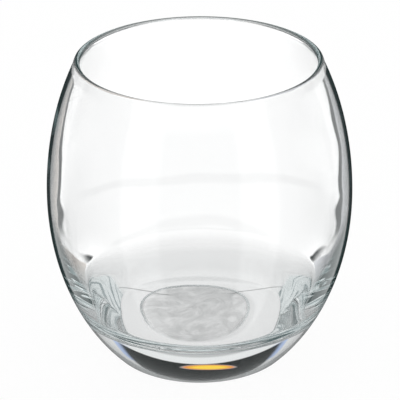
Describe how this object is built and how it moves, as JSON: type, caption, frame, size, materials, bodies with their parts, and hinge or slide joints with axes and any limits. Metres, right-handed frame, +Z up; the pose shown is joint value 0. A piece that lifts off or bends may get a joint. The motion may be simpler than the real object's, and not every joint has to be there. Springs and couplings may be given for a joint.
{
  "type": "stemless wine glass",
  "caption": "Clear barrel-shaped stemless wine glass with a rounded beaded lip, walls that thicken into a heavy base, and a shallow dome pushed up inside its flat standing ring.",
  "frame": {"origin": "centre of the foot, on the plane of the standing ring that the glass rests on", "axes": "+Z up along the axis of revolution, from the foot to the mouth; +X and +Y are any two level directions, because the glass is round"},
  "size_m": [0.088, 0.088, 0.09],
  "materials": {
    "clear_glass": "fire-polished clear soda-lime glass, faintly blue-green where it is seen through its thickness"
  },
  "bodies": {
    "root": {"glass": "clear_glass"}
  },
  "joints": []
}
